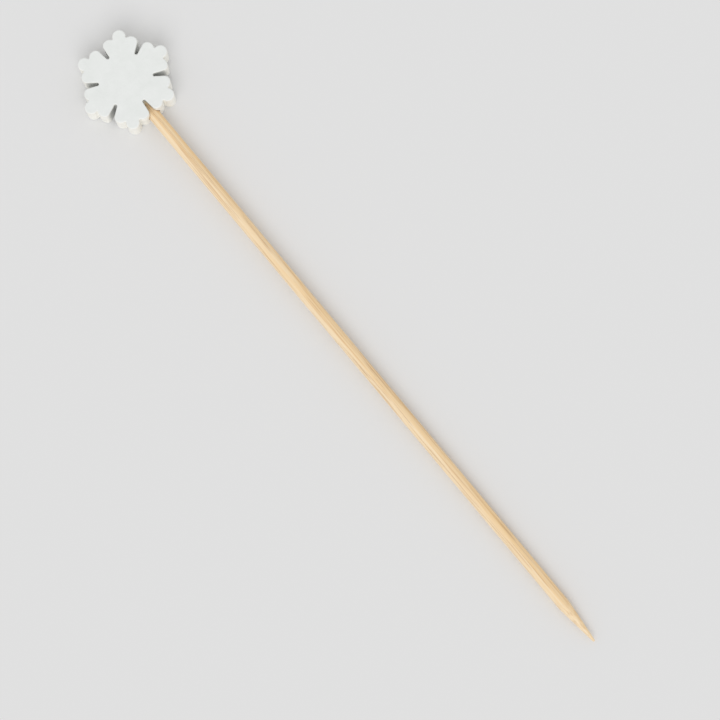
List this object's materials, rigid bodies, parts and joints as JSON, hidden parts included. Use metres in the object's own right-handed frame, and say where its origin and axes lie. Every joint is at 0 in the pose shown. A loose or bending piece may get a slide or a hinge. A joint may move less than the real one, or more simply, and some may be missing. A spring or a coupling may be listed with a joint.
{
  "type": "snowflake cocktail pick",
  "caption": "Thick white painted wooden snowflake glued on the butt of a round bamboo stick with a sharpened point, for holding garnishes and finger food.",
  "frame": {"origin": "centre of the snowflake, on the lower of its two flat faces", "axes": "+X along the stick from the snowflake to the point, +Z square to the snowflake's faces, up from the face it lies on, +Y across the stick"},
  "size_m": [0.1506, 0.02, 0.0058],
  "materials": {
    "white_painted_wood": "matt white paint on fine-grained wood, edges tumbled",
    "bamboo": "sanded bare bamboo with fibres along the stick",
    "set_glue": "dried wood glue, slightly glossy"
  },
  "bodies": {
    "root": {"snowflake": "white_painted_wood", "bamboo_stick": "bamboo", "joint_glue": "set_glue"}
  },
  "joints": []
}
